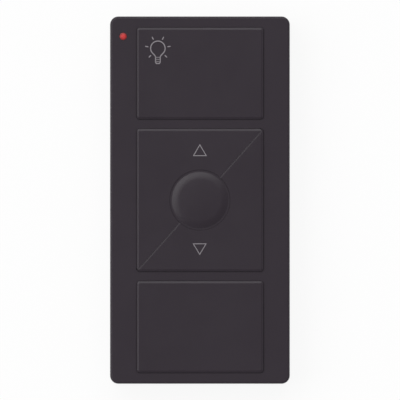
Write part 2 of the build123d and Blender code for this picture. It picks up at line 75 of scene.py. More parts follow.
STRAIGHT_TURN = 1e-6
SHARP_ANGLE = math.radians(25)
QUARTER = math.pi / 2
PITS_PER_GRAIN = 0.7
PIT_DEPTH = 0.4
DRAWN_OUT = 0.03
STAINS_PER_LINE = 0.02
UP = Vector((0.0, 0.0, 1.0))

Colour = tuple[float, float, float]
Pair = tuple[float, float]
Values = dict[Any, Any]
Loop = list[Vector]
Shape = tuple[list[Vector], list[tuple[int, ...]]]
Socket = bpy.types.NodeSocket
Tree = bpy.types.NodeTree
Piece = bpy.types.Object
WHITE: Colour = (1.0, 1.0, 1.0)


class Body(Enum):
    """The remote's bodies that carry pieces of the scene."""

    CASE = "case"
    ON = "on_button"
    RAISE = "raise_button"
    FAVOURITE = "favourite_button"
    LOWER = "lower_button"
    OFF = "off_button"


class Slot(Enum):
    """Names of the record's finishes; the scene's own pieces are not given them here."""

    PLASTIC = "charcoal_plastic"
    DOME = "dome_steel"
    CELL = "cell_steel"
    CONTACT = "contact_steel"


class Way(Enum):
    """Which way an arrow sign points along the handset."""

    UP = 1
    DOWN = -1


# Node trees


class Wiring:
    """Adds nodes to one node tree and joins them."""

    def __init__(self, tree: Tree) -> None:
        """Start from an empty tree."""
        self.tree = tree
        tree.nodes.clear()

    def node(self, kind: str, values: Values | None = None, **settings: Any) -> bpy.types.Node:
        """Add one node.

        Args:
            kind: Blender's name for the kind of node.
            values: For each input, by name or number, a constant or the socket that feeds it.
            settings: The node's own options.

        Returns:
            The new node.
        """
        made = self.tree.nodes.new(kind)
        for name, value in settings.items():
            setattr(made, name, value)
        for key, value in (values or {}).items():
            if isinstance(value, Socket):
                self.tree.links.new(value, made.inputs[key])
            else:
                made.inputs[key].default_value = value
        return made

    def maths(self, operation: str, first: Any, second: Any = 0.0) -> Socket:
        """Add a maths node and return its result."""
        return self.node("ShaderNodeMath", {0: first, 1: second}, operation=operation).outputs[0]

    def xyz(self, **parts: Any) -> Socket:
        """Join up to three numbers to a vector."""
        return self.node("ShaderNodeCombineXYZ", parts).outputs[0]

    def blend(self, factor: Any, first: Any, second: Any) -> Socket:
        """Add a colour mix and return its result."""
        return self.node("ShaderNodeMix", {0: factor, 6: first, 7: second}, data_type="RGBA").outputs[2]

    def mottled(self, tone: Socket, colour: Colour, share: float) -> Socket:
        """A colour that wanders by a share either way with a tone."""
        return self.blend(tone, shade(colour, 1 - share), shade(colour, 1 + share))

    def place(self) -> Socket:
        """Object coordinates."""
        return self.node("ShaderNodeTexCoord").outputs["Object"]

    def noise(
        self, place: Socket, size: Any, detail: float, rough: float = 0.5, share: float = 1.0,
    ) -> Socket:
        """Add a noise texture.

        Args:
            place: Coordinates that it follows.
            size: Size of its patches.
            detail: How many finer layers it has.
            rough: How strong the finer layers are.
            share: Patches in one size.

        Returns:
            Its strength.
        """
        scale = self.maths("DIVIDE", share, size)
        values = {"Vector": place, "Scale": scale, "Detail": detail, "Roughness": rough}
        return self.node("ShaderNodeTexNoise", values).outputs["Fac"]

    def group(self, tree: Tree, **values: float) -> Any:
        """Place a shader group, its inputs named with underscores for spaces, and return its outputs."""
        return self.node("ShaderNodeGroup", {
            name.replace("_", " "): value for name, value in values.items()
        }, node_tree=tree).outputs

    def sheen(self, gloss: Pair, patch: float) -> Socket:
        """Roughness of a surface with uneven gloss."""
        made = self.group(handling_sheen(), Gloss_From=gloss[0], Gloss_To=gloss[1], Patch_Size=patch)
        return made["Roughness"]


def new_group(kind: str, name: str, inputs: dict[str, str], outputs: dict[str, str]) -> tuple[Wiring, Any]:
    """Make a node group with named sockets.

    Args:
        kind: ShaderNodeTree or GeometryNodeTree.
        name: Name of the group.
        inputs: Kind of each input socket by name, such as Float or Vector.
        outputs: Kind of each output socket by name.

    Returns:
        The wiring of the new group, and what it is given, by name.
    """
    wiring = Wiring(bpy.data.node_groups.new(name, kind))
    for side, sockets in (("INPUT", inputs), ("OUTPUT", outputs)):
        for label, socket in sockets.items():
            wiring.tree.interface.new_socket(label, in_out=side, socket_type="NodeSocket" + socket)
    return wiring, wiring.node("NodeGroupInput").outputs


@cache
def moulded_grain() -> Tree:
    """Fine eroded grain of a mould, with broad soft patches.

    Returns:
        A shader group with inputs Grain Size and Patch Size, and outputs Height and Tone.
    """
    wiring, given = new_group(
        "ShaderNodeTree", "moulded grain",
        {"Grain Size": "Float", "Patch Size": "Float"}, {"Height": "Float", "Tone": "Float"},
    )
    place = wiring.place()
    pits = wiring.node("ShaderNodeTexVoronoi", {
        "Vector": place, "Scale": wiring.maths("DIVIDE", PITS_PER_GRAIN, given["Grain Size"]),
    }, feature="SMOOTH_F1")
    depth = wiring.maths("MULTIPLY", pits.outputs["Distance"], PIT_DEPTH)
    grain = wiring.noise(place, given["Grain Size"], detail=3.0, rough=0.6)
    wiring.node("NodeGroupOutput", {
        "Height": wiring.maths("ADD", depth, grain),
        "Tone": wiring.noise(place, given["Patch Size"], detail=4.0, rough=0.55),
    })
    return wiring.tree


@cache
def handling_sheen() -> Tree:
    """Uneven gloss left by hands and by the mould.

    Returns:
        A shader group with inputs Gloss From, Gloss To and Patch Size, and the output Roughness.
    """
    wiring, given = new_group(
        "ShaderNodeTree", "handling sheen",
        {"Gloss From": "Float", "Gloss To": "Float", "Patch Size": "Float"}, {"Roughness": "Float"},
    )
    patches = wiring.noise(wiring.place(), given["Patch Size"], detail=5.0, rough=0.65)
    spread = wiring.node("ShaderNodeMapRange", {
        "Value": patches, "From Min": 0.3, "From Max": 0.7,
        "To Min": given["Gloss From"], "To Max": given["Gloss To"],
    })
    wiring.node("NodeGroupOutput", {"Roughness": spread.outputs["Result"]})
    return wiring.tree


@cache
def rolled_grain() -> Tree:
    """Long fine lines that rolling leaves in sheet metal, along Y.

    Returns:
        A shader group with the input Line Width, and outputs Height and Tone.
    """
    wiring, given = new_group(
        "ShaderNodeTree", "rolled grain", {"Line Width": "Float"}, {"Height": "Float", "Tone": "Float"},
    )
    place = wiring.place()
    drawn = wiring.node("ShaderNodeMapping", {"Vector": place, "Scale": (1.0, DRAWN_OUT, 1.0)}).outputs[0]
    wiring.node("NodeGroupOutput", {
        "Height": wiring.noise(drawn, given["Line Width"], detail=3.0),
        "Tone": wiring.noise(place, given["Line Width"], detail=4.0, share=STAINS_PER_LINE),
    })
    return wiring.tree


def new_material(name: str) -> tuple[bpy.types.Material, Wiring]:
    """Make an empty node material.

    Args:
        name: Name of the material.

    Returns:
        The material and the wiring of its tree.
    """
    material = bpy.data.materials.new(name)
    material.use_nodes = True
    return material, Wiring(material.node_tree)


def shade(colour: Colour, share: float = 1.0) -> tuple[float, float, float, float]:
    """A colour made lighter or darker by a share, with full alpha."""
    return (*(min(1.0, channel * share) for channel in colour), 1.0)


# Finishes


@dataclass(frozen=True)
class Finish:
    """A surface that is built once as a material."""

    name: str

    @cache
    def material(self) -> bpy.types.Material:
        """Build the finish once.

        Returns:
            Its material.
        """
        material, wiring = new_material(self.name)
        inputs, height, relief = self.surface(wiring)
        bump = wiring.node("ShaderNodeBump", {"Distance": relief, "Height": height})
        shader = wiring.node("ShaderNodeBsdfPrincipled", {**inputs, "Normal": bump.outputs[0]})
        wiring.node("ShaderNodeOutputMaterial", {"Surface": shader.outputs[0]})
        return material

    def surface(self, wiring: Wiring) -> tuple[Values, Socket, float]:
        """Wire the colour, the gloss and the relief.

        Args:
            wiring: Wiring of the material.

        Returns:
            Inputs of the surface shader by name, the height of the relief and its depth.
        """
        raise NotImplementedError


@dataclass(frozen=True)
class Moulding(Finish):
    """Moulded plastic, resin or ceramic with a fine grain and uneven gloss."""

    colour: Colour
    gloss: Pair = (0.4, 0.5)
    grain: float = 0.12 * MM
    relief: float = 0.005 * MM
    mottle: float = 0.06
    patch: float = 5.0 * MM
    sheen_patches: float = 1.6
    specular: float = 0.5
    coat: float = 0.0
    clear: float = 0.0

    def surface(self, wiring: Wiring) -> tuple[Values, Socket, float]:
        """Wire the mottled colour, the gloss and the grain.

        Args:
            wiring: Wiring of the material.

        Returns:
            Inputs of the surface shader by name, the height of the relief and its depth.
        """
        grain = wiring.group(moulded_grain(), Grain_Size=self.grain, Patch_Size=self.patch)
        return {
            "Base Color": wiring.mottled(grain["Tone"], self.colour, self.mottle),
            "Roughness": wiring.sheen(self.gloss, self.sheen_patches * self.patch),
            "Specular IOR Level": self.specular, "Coat Weight": self.coat, "Transmission Weight": self.clear,
        }, grain["Height"], self.relief


@dataclass(frozen=True)
class RolledMetal(Finish):
    """Plated sheet metal with rolling lines and faint stains."""

    colour: Colour
    gloss: Pair = (0.22, 0.36)
    line: float = 0.05 * MM
    sheen_lines: float = 60.0
    relief: float = 0.0015 * MM
    stain: float = 0.1

    def surface(self, wiring: Wiring) -> tuple[Values, Socket, float]:
        """Wire the stained colour, the gloss and the lines.

        Args:
            wiring: Wiring of the material.

        Returns:
            Inputs of the surface shader by name, the height of the relief and its depth.
        """
        grain = wiring.group(rolled_grain(), Line_Width=self.line)
        return {
            "Base Color": wiring.mottled(grain["Tone"], self.colour, self.stain), "Metallic": 1.0,
            "Roughness": wiring.sheen(self.gloss, self.sheen_lines * self.line),
        }, grain["Height"], self.relief


@dataclass(frozen=True)
class PrintedInk(Finish):
    """Pad-printed ink: an even film with fine pinholes that let the plastic through."""

    colour: Colour
    ground: Colour
    speck: float = 0.09 * MM
    patch: float = 0.8 * MM
    mottle: float = 0.1
    holes: Pair = (0.42, 0.5)
    gloss: Pair = (0.5, 0.62)
    sheen_patch: float = 2.0 * MM
    relief: float = 0.003 * MM

    def surface(self, wiring: Wiring) -> tuple[Values, Socket, float]:
        """Wire the film with its pinholes, the gloss and the grain.

        Args:
            wiring: Wiring of the material.

        Returns:
            Inputs of the surface shader by name, the height of the relief and its depth.
        """
        grain = wiring.group(moulded_grain(), Grain_Size=self.speck, Patch_Size=self.patch)
        film = wiring.mottled(grain["Tone"], self.colour, self.mottle)
        holes = wiring.node("ShaderNodeMapRange", {
            "Value": grain["Height"], "From Min": self.holes[0], "From Max": self.holes[1],
        })
        return {
            "Base Color": wiring.blend(holes.outputs["Result"], shade(self.ground), film),
            "Roughness": wiring.sheen(self.gloss, self.sheen_patch),
        }, grain["Height"], self.relief


@dataclass(frozen=True)
class LensPlastic(Finish):
    """Clear red plastic over the lamp, with a painted highlight in the middle that fades to a darker rim."""

    # middle is the colour of the painted highlight; rim is the darker red at the edge; core is the share of
    # the radius that keeps the full painted highlight
    middle: Colour
    rim: Colour
    centre: tuple[float, float, float]
    radius: float
    core: float = 0.3
    grain: float = 0.2 * MM
    patch: float = 0.5 * MM
    gloss: Pair = (0.3, 0.4)
    sheen_patch: float = 0.4 * MM
    relief: float = 0.001 * MM
    specular: float = 0.3

    def surface(self, wiring: Wiring) -> tuple[Values, Socket, float]:
        """Wire the colour with its painted highlight that fades to the rim, the gloss and the grain.

        Args:
            wiring: Wiring of the material.

        Returns:
            Inputs of the surface shader by name, the height of the relief and its depth.
        """
        vector = "ShaderNodeVectorMath"
        centred = wiring.node(vector, {0: wiring.place(), 1: self.centre}, operation="SUBTRACT").outputs[0]
        flat = wiring.node(vector, {0: centred, 1: (1.0, 1.0, 0.0)}, operation="MULTIPLY").outputs[0]
        # painted highlight: the colour fades from the bright middle out to the rim
        highlight_fade = wiring.node("ShaderNodeMapRange", {
            "Value": wiring.node(vector, {0: flat}, operation="LENGTH").outputs["Value"],
            "From Min": self.core * self.radius, "From Max": self.radius,
        }, interpolation_type="SMOOTHSTEP")
        grain = wiring.group(moulded_grain(), Grain_Size=self.grain, Patch_Size=self.patch)
        return {
            "Base Color": wiring.blend(highlight_fade.outputs["Result"], shade(self.middle), shade(self.rim)),
            "Roughness": wiring.sheen(self.gloss, self.sheen_patch), "Specular IOR Level": self.specular,
        }, grain["Height"], self.relief


@dataclass(frozen=True)
class BoardLaminate(Finish):
    """Glass-cloth board under solder mask: the weave shows through as a faint check."""

    mask: Colour
    cloth: Colour
    weave: float = 0.45 * MM
    bands: float = 0.31
    wobble: float = 0.4
    grain: float = 0.08 * MM
    patch: float = 4.0 * MM
    gloss: Pair = (0.25, 0.4)
    sheen_patch: float = 6.0 * MM
    relief: float = 0.004 * MM

    def surface(self, wiring: Wiring) -> tuple[Values, Socket, float]:
        """Wire the woven colour, the gloss and the weave.

        Args:
            wiring: Wiring of the material.

        Returns:
            Inputs of the surface shader by name, the height of the relief and its depth.
        """
        values = {"Vector": wiring.place(), "Scale": self.bands / self.weave, "Distortion": self.wobble}
        cloth = wiring.maths("MULTIPLY", *(
            wiring.node("ShaderNodeTexWave", values, bands_direction=axis).outputs["Fac"] for axis in "XY"
        ))
        grain = wiring.group(moulded_grain(), Grain_Size=self.grain, Patch_Size=self.patch)
        woven = wiring.blend(cloth, shade(self.mask), shade(self.cloth))
        return {
            "Base Color": wiring.blend(grain["Tone"], woven, shade(self.mask)),
            "Roughness": wiring.sheen(self.gloss, self.sheen_patch),
        }, cloth, self.relief


CHARCOAL: Colour = (0.024, 0.017, 0.025)
RESIN_BLACK: Colour = (0.02, 0.02, 0.022)
SHELL_PLASTIC = Moulding("charcoal shell plastic", CHARCOAL, gloss=(0.44, 0.52), specular=0.32)
CAP_PLASTIC = Moulding("charcoal keycap plastic", CHARCOAL, gloss=(0.38, 0.45), grain=0.1 * MM,
                       relief=0.004 * MM, specular=0.36)
SIGN_INK = PrintedInk("pale grey ink", (0.25, 0.23, 0.25), CHARCOAL)
CHIP_INK = PrintedInk("white marking ink", (0.62, 0.62, 0.6), RESIN_BLACK)
CHIP_RESIN = Moulding("moulded chip epoxy", RESIN_BLACK, gloss=(0.55, 0.7), grain=0.05 * MM)
CERAMIC = Moulding("fired ceramic", (0.36, 0.25, 0.15), gloss=(0.35, 0.5), grain=0.06 * MM, patch=0.6 * MM)
LAMP_RESIN = Moulding("clear lamp resin", (0.7, 0.55, 0.45), gloss=(0.12, 0.2), relief=0.001 * MM,
                      patch=0.5 * MM, clear=0.35)
SPACER_FILM = Moulding("amber spacer film", (0.62, 0.52, 0.3), gloss=(0.18, 0.3), relief=0.001 * MM, coat=0.3)
BOARD_FINISH = BoardLaminate("green board laminate", (0.016, 0.11, 0.05), (0.03, 0.19, 0.09))
DOME_STEEL = RolledMetal("sprung dome steel", (0.62, 0.6, 0.56))
CELL_STEEL = RolledMetal("nickel-plated cell steel", (0.68, 0.68, 0.66), gloss=(0.25, 0.42), line=0.08 * MM)
ETCHED_STEEL = RolledMetal("etched cell marking", (0.2, 0.2, 0.21), gloss=(0.5, 0.65), line=0.04 * MM)
CONTACT_STEEL = RolledMetal("plated contact strip", (0.7, 0.66, 0.55))
CRYSTAL_METAL = RolledMetal("plated crystal lid", (0.66, 0.62, 0.52), line=0.03 * MM)
COPPER = RolledMetal("tinned copper track", (0.72, 0.45, 0.2), gloss=(0.3, 0.45), stain=0.2)
SOLDER = RolledMetal("tinned solder", (0.66, 0.66, 0.64), gloss=(0.3, 0.5), line=0.03 * MM)


# Mesh shapes


def add_object(name: str, data: Any) -> Piece:
    """Put a new object into the scene.

    Args:
        name: Name of the object.
        data: Its mesh, light or camera.

    Returns:
        The new object, at the origin.
    """
    made = bpy.data.objects.new(name, data)
    bpy.context.scene.collection.objects.link(made)
    return made


def new_piece(name: str, shape: Shape, finish: Finish, smooth: bool = False) -> Piece:
    """Make one mesh piece in its place, with corners that coincide merged.

    Args:
        name: Name of the piece.
        shape: Corners in metres, in the frame of the whole remote, and faces seen anticlockwise from outside.
        finish: Finish that dresses the piece.
        smooth: Whether its faces are shaded as one curved surface.

    Returns:
        The new object, at the origin.
    """
    corners, faces = shape
    mesh = bpy.data.meshes.new(name)
    mesh.from_pydata([tuple(corner) for corner in corners], [], faces)
    merged = bmesh.new()
    merged.from_mesh(mesh)
    bmesh.ops.remove_doubles(merged, verts=merged.verts, dist=MERGE_DISTANCE)
    merged.to_mesh(mesh)
    merged.free()
    mesh.materials.append(finish.material())
    if smooth:
        mesh.shade_smooth()
        mesh.set_sharp_from_angle(angle=SHARP_ANGLE)
    return add_object(name, mesh)


def settle(piece: Piece, body: Body) -> None:
    """Let a finished piece ride on a body.

    Args:
        piece: The piece, in its place.
        body: Body that carries it.
    """
    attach(piece, body.value)
    LOG.info("%s: %d faces on %s", piece.name, len(piece.data.polygons), body.value)


def polar(radius: float, angle: float) -> Vector:
    """Point in the XY plane at a distance and a direction."""
    return Vector((radius * math.cos(angle), radius * math.sin(angle)))


def bezier(knots: Loop, steps: int) -> Loop:
    """Follow a curve between two knots, pulled by those between them.

    Args:
        knots: The first knot, the pulls and the last knot.
        steps: Straight runs along the curve.

    Returns:
        Points from the first knot to the last.
    """
    top = len(knots) - 1
    points = []
    for step in range(steps + 1):
        t = step / steps
        pulls = [math.comb(top, number) * t**number * (1 - t) ** (top - number) for number in range(top + 1)]
        points.append(sum((knot * pull for knot, pull in zip(knots, pulls)), Vector((0.0, 0.0))))
    return points


def directions(path: Loop) -> Loop:
    """Direction of the edge after each corner of a closed outline."""
    return [(after - here).normalized() for here, after in zip(path, path[1:] + path[:1])]


def offset_edges(path: Loop, shifts: list[float]) -> Loop:
    """Move each edge of a closed anticlockwise outline inwards, with mitred corners.

    Args:
        path: Corners of the outline, in the XY plane.
        shifts: How far the edge after each corner moves; below zero is outwards.

    Returns:
        The corners of the moved outline.
    """
    sides = [Vector((-run.y, run.x)) for run in directions(path)]
    moved = []
    for number, corner in enumerate(path):
        first, second = sides[number - 1], sides[number]
        near, far = shifts[number - 1], shifts[number]
        turn = first.x * second.y - first.y * second.x
        if abs(turn) < STRAIGHT_TURN:
            moved.append(corner + second * far)
        else:
            across = Vector((near * second.y - far * first.y, far * first.x - near * second.x))
            moved.append(corner + across / turn)
    return moved


def edge_widths(outline: Loop, side: float, end: float) -> list[float]:
    """Width of a rim or bevel on each edge of an outline, from the way that the edge faces."""
    return [side * run.y**2 + end * run.x**2 for run in directions(outline)]


def lofted(loops: list[Loop]) -> Shape:
    """Join each loop to the next by a band of faces.

    Args:
        loops: Loops with the same number of corners, anticlockwise, from the lowest up on the outside.

    Returns:
        Corners and faces of the bands, open at both ends.
    """
    count = len(loops[0])
    faces: list[tuple[int, ...]] = []
    for low in range(0, count * (len(loops) - 1), count):
        high = low + count
        for here in range(count):
            after = (here + 1) % count
            faces.append((low + here, low + after, high + after, high + here))
    return [corner for loop in loops for corner in loop], faces


def prism_shape(loops: list[Loop]) -> Shape:
    """Join outlines that lie above each other into a solid with flat ends.

    Args:
        loops: Anticlockwise outlines with the same number of corners, from the lowest up.

    Returns:
        Corners and faces of the solid.
    """
    corners, faces = lofted(loops)
    numbers, count = tuple(range(len(corners))), len(loops[0])
    return corners, [*faces, numbers[:count][::-1], numbers[-count:]]


def poled_shape(low: Vector, loops: list[Loop], high: Vector) -> Shape:
    """Join loops into a solid that closes in a point at both ends.

    Args:
        low: Lower pole.
        loops: Loops with the same number of corners, anticlockwise, from the lower pole round the outside.
        high: Upper pole.

    Returns:
        Corners and faces of the solid.
    """
    corners, faces = lofted(loops)
    poles, count = len(corners), len(loops[0])
    last = poles - count
    for here in range(count):
        after = (here + 1) % count
        faces += [(poles, after, here), (poles + 1, last + here, last + after)]
    return [*corners, low, high], faces


def turned_shape(profile: list[Pair | Vector], centre: Vector, steps: int) -> Shape:
    """Turn a profile about an upright axis.

    Args:
        profile: Radius and height of each point, from the lower pole round the outside to the upper pole.
        centre: Foot of the axis.
        steps: Flats round the axis.

    Returns:
        Corners and faces of the shape, closed at both poles.
    """
    turns = [math.tau * step / steps for step in range(steps)]
    loops = [
        [centre + Vector((*polar(radius, turn), height)) for turn in turns]
        for radius, height in profile[1:-1]
    ]
    return poled_shape(centre + UP * profile[0][1], loops, centre + UP * profile[-1][1])


def raised(path: Loop, *levels: float) -> Loop:
    """Lift a flat outline to one level, or each of its corners to its own."""
    return [Vector((*point, level)) for point, level in zip(path, cycle(levels))]


def stroke_ring(name: str, path: Loop, width: float, levels: Pair, finish: Finish) -> Piece:
    """Make a flat raised stroke along a closed outline.

    Args:
        name: Name of the piece.
        path: Middle line of the stroke, anticlockwise.
        width: Width of the stroke.
        levels: Lower and upper level along Z.
        finish: Finish that dresses the stroke.

    Returns:
        The new piece.
    """
    outer, inner = (offset_edges(path, [shift] * len(path)) for shift in (-width / 2, width / 2))
    low, high = levels
    foot = raised(outer, low)
    loops = [foot, raised(outer, high), raised(inner, high), raised(inner, low), foot]
    return new_piece(name, lofted(loops), finish)


def rounded_rectangle(half: Pair, centre_y: float, radius: float, steps: int = 6) -> Loop:
    """Outline of a rectangle with round corners, anticlockwise.

    Args:
        half: Half width and half height.
        centre_y: Place of its middle along Y; along X it is in the middle.
        radius: Radius of the corners.
        steps: Flats in each corner.

    Returns:
        Corners of the outline.
    """
    path = []
    for turn, (side, end) in enumerate(((1, 1), (-1, 1), (-1, -1), (1, -1))):
        middle = Vector((side * (half[0] - radius), centre_y + end * (half[1] - radius)))
        path += [middle + polar(radius, (turn + step / steps) * QUARTER) for step in range(steps + 1)]
    return path


# Repeated shapes


def geometry_group(name: str, inputs: dict[str, str]) -> tuple[Wiring, Any]:
    """Start a geometry tree with named sizes and a finish."""
    return new_group("GeometryNodeTree", name, {**inputs, "Material": "Material"}, {"Geometry": "Geometry"})


def copies(wiring: Wiring, points: Socket, shape: Socket, turn: Any = 0.0) -> Socket:
    """Put a copy of a shape on each point.

    Args:
        wiring: Wiring of the geometry tree.
        points: The points.
        shape: The shape that is copied.
        turn: Angle of each copy about Z.

    Returns:
        The copies, as instances.
    """
    rotation = wiring.node("FunctionNodeEulerToRotation", {0: wiring.xyz(Z=turn)}).outputs[0]
    values = {"Points": points, "Instance": shape, "Rotation": rotation}
    return wiring.node("GeometryNodeInstanceOnPoints", values).outputs[0]


def block_row(wiring: Wiring, count: Socket, first: Socket, step: Socket, block: Socket) -> Socket:
    """Put equal blocks at even steps along a line.

    Args:
        wiring: Wiring of the geometry tree.
        count: How many blocks.
        first: Middle of the first block.
        step: From one block to the next.
        block: Size of a block.

    Returns:
        The blocks, as instances.
    """
    line = wiring.node("GeometryNodeMeshLine", {"Count": count, "Start Location": first, "Offset": step})
    cube = wiring.node("GeometryNodeMeshCube", {"Size": block})
    return copies(wiring, line.outputs[0], cube.outputs["Mesh"])


def close_tree(wiring: Wiring, shape: Socket, material: Socket) -> Tree:
    """End a geometry tree in real, dressed meshes.

    Args:
        wiring: Wiring of the tree.
        shape: What it has made.
        material: Finish that dresses it.

    Returns:
        The finished tree.
    """
    real = wiring.node("GeometryNodeRealizeInstances", {"Geometry": shape})
    dressed = wiring.node("GeometryNodeSetMaterial", {"Geometry": real.outputs[0], "Material": material})
    wiring.node("NodeGroupOutput", {"Geometry": dressed.outputs[0]})
    return wiring.tree


@cache
def ray_tree() -> Tree:
    """Round-ended bars that stand out from a centre, evenly turned.

    Returns:
        A geometry tree with named inputs for the sizes and the finish.
    """
    wiring, given = geometry_group("rays round a centre", {
        "Centre": "Vector", "Count": "Int", "First Angle": "Float", "Step Angle": "Float",
        "Inner Radius": "Float", "Length": "Float", "Width": "Float", "Height": "Float",
    })
    half_width = wiring.maths("DIVIDE", given["Width"], 2.0)
    half_length = wiring.maths("DIVIDE", given["Length"], 2.0)
    end = wiring.node("GeometryNodeMeshCylinder", {
        "Vertices": 24, "Radius": half_width, "Depth": given["Height"],
    }).outputs["Mesh"]
    reach = wiring.maths("SUBTRACT", half_length, half_width)
    pair = wiring.node("GeometryNodeJoinGeometry")
    for shift in (reach, wiring.maths("MULTIPLY", reach, -1.0)):
        moved = wiring.node("GeometryNodeTransform", {"Geometry": end, "Translation": wiring.xyz(X=shift)})
        wiring.tree.links.new(moved.outputs[0], pair.inputs[0])
    bar = wiring.node("GeometryNodeConvexHull", {"Geometry": pair.outputs[0]}).outputs[0]
    index = wiring.node("GeometryNodeInputIndex").outputs[0]
    turn = wiring.maths("ADD", given["First Angle"], wiring.maths("MULTIPLY", index, given["Step Angle"]))
    middle = wiring.maths("ADD", given["Inner Radius"], half_length)
    around = wiring.xyz(
        X=wiring.maths("MULTIPLY", wiring.maths("COSINE", turn), middle),
        Y=wiring.maths("MULTIPLY", wiring.maths("SINE", turn), middle),
    )
    place = wiring.node("ShaderNodeVectorMath", {0: around, 1: given["Centre"]}, operation="ADD").outputs[0]
    points = wiring.node("GeometryNodePoints", {"Count": given["Count"], "Position": place}).outputs[0]
    return close_tree(wiring, copies(wiring, points, bar, turn), given["Material"])


@cache
def row_tree() -> Tree:
    """Equal blocks at even steps along a line.

    Returns:
        A geometry tree with named inputs for the sizes and the finish.
    """
    sizes = {"Count": "Int", "First": "Vector", "Step": "Vector", "Block": "Vector"}
    wiring, given = geometry_group("row of blocks", sizes)
    return close_tree(wiring, block_row(wiring, *(given[name] for name in sizes)), given["Material"])


@cache
def leg_tree() -> Tree:
    """Solder pads in a row along each of the four sides of a chip.

    Returns:
        A geometry tree with named inputs for the sizes and the finish.
    """
    wiring, given = geometry_group("pads round a chip", {
        "Centre": "Vector", "Reach": "Float", "Count": "Int", "Pitch": "Float", "Pad": "Vector",
    })
    span = wiring.maths("MULTIPLY", wiring.maths("SUBTRACT", given["Count"], 1.0), given["Pitch"])
    first = wiring.xyz(X=wiring.maths("MULTIPLY", span, -0.5), Y=given["Reach"])
    side = block_row(wiring, given["Count"], first, wiring.xyz(X=given["Pitch"]), given["Pad"])
    solid = wiring.node("GeometryNodeRealizeInstances", {"Geometry": side}).outputs[0]
    turn = wiring.maths("MULTIPLY", wiring.node("GeometryNodeInputIndex").outputs[0], QUARTER)
    points = wiring.node("GeometryNodePoints", {"Count": 4, "Position": given["Centre"]}).outputs[0]
    return close_tree(wiring, copies(wiring, points, solid, turn), given["Material"])


def grow(name: str, tree: Tree, finish: Finish, values: Values) -> Piece:
    """Run a geometry tree and keep its result as a plain mesh.

    Args:
        name: Name of the piece.
        tree: Geometry tree that makes it.
        finish: Finish that dresses it.
        values: Value of each of the tree's sizes, by name.

    Returns:
        The new piece, with no modifier left on it.
    """
    piece = add_object(name, bpy.data.meshes.new(name))
    modifier = piece.modifiers.new("tree", "NODES")
    modifier.node_group = tree
    inputs = {**values, "Material": finish.material()}
    for item in tree.interface.items_tree:
        if item.in_out == "INPUT":
            modifier[item.identifier] = inputs[item.name]
    depsgraph = bpy.context.evaluated_depsgraph_get()
    mesh = bpy.data.meshes.new_from_object(piece.evaluated_get(depsgraph), depsgraph=depsgraph)
    piece.modifiers.clear()
    piece.data = mesh
    return piece


# Sub-assemblies


def dress(node: str, finish: Finish) -> None:
    """Give one CAD node a finish.

    Args:
        node: Name of the node.
        finish: Finish that dresses it.
    """
    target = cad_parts[node]
    if not target.material_slots:
        target.data.materials.append(None)
    for slot in target.material_slots:
        slot.material = finish.material()
    LOG.info("%s: %s", node, finish.name)


@dataclass
class BulbSign:
    """Outlined lamp bulb with rays, printed on the upper keycap."""

    centre: Vector
    levels: Pair
    glass_r: float = 1.3 * MM
    glass_steps: int = 48
    stroke: float = 0.185 * MM
    neck: float = 0.42 * MM
    neck_top: float = -1.56 * MM
    shoulder: Pair = (1.2 * MM, -0.5 * MM)
    pulls: tuple[Pair, Pair] = ((0.42 * MM, -1.26 * MM), (1.027 * MM, -0.915 * MM))
    curve_steps: int = 12
    base: float = -2.5 * MM
    foot: Pair = (0.26 * MM, -2.713 * MM)
    thread_first: float = -1.617 * MM
    thread_step: float = -0.369 * MM
    thread_t: float = 0.1 * MM
    thread_count: int = 3
    ray_inner: float = 1.725 * MM
    ray_length: float = 0.593 * MM
    ray_count: int = 6
    ray_first: float = math.radians(-45.0)
    ray_step: float = math.radians(54.0)

    def outline(self) -> Loop:
        """Follow the middle line of the whole outline, anticlockwise.

        Returns:
            Points in the remote's frame.
        """
        knots = [Vector((self.neck, self.neck_top)), *map(Vector, self.pulls), Vector(self.shoulder)]
        right = [Vector(self.foot), Vector((self.neck, self.base)), *bezier(knots, self.curve_steps)]
        left = [Vector((-point.x, point.y)) for point in reversed(right)]
        start = math.atan2(self.shoulder[1], self.shoulder[0])
        flat = (math.pi - 2 * start) / self.glass_steps
        glass = [polar(self.glass_r, start + flat * step) for step in range(1, self.glass_steps)]
        return [point + self.centre.xy for point in (*right, *glass, *left)]

    def build(self) -> None:
        """Make the outline, the thread bars and the rays."""
        settle(stroke_ring("bulb_outline", self.outline(), self.stroke, self.levels, SIGN_INK), Body.ON)
        middle, height = sum(self.levels) / 2, self.levels[1] - self.levels[0]
        settle(grow("bulb_threads", row_tree(), SIGN_INK, {
            "First": (self.centre.x, self.centre.y + self.thread_first, middle), "Count": self.thread_count,
            "Step": (0.0, self.thread_step, 0.0), "Block": (2 * self.neck, self.thread_t, height),
        }), Body.ON)
        settle(grow("bulb_rays", ray_tree(), SIGN_INK, {
            "Centre": (self.centre.x, self.centre.y, middle), "Count": self.ray_count,
            "First Angle": self.ray_first, "Step Angle": self.ray_step, "Inner Radius": self.ray_inner,
            "Length": self.ray_length, "Width": self.stroke, "Height": height,
        }), Body.ON)


@dataclass
class ArrowSign:
    """Outlined triangle printed on one half of the split pair."""

    name: str
    body: Body
    way: Way
    apex: Pair
    base_y: float
    levels: Pair
    half_width: float = 1.14 * MM
    stroke: float = 0.14 * MM

    def build(self) -> None:
        """Make the triangle's stroke."""
        reach = self.half_width * self.way.value
        feet = [Vector((self.apex[0] + shift, self.base_y)) for shift in (-reach, reach)]
        path = [Vector(self.apex), *feet]
        settle(stroke_ring(self.name, path, self.stroke, self.levels, SIGN_INK), self.body)


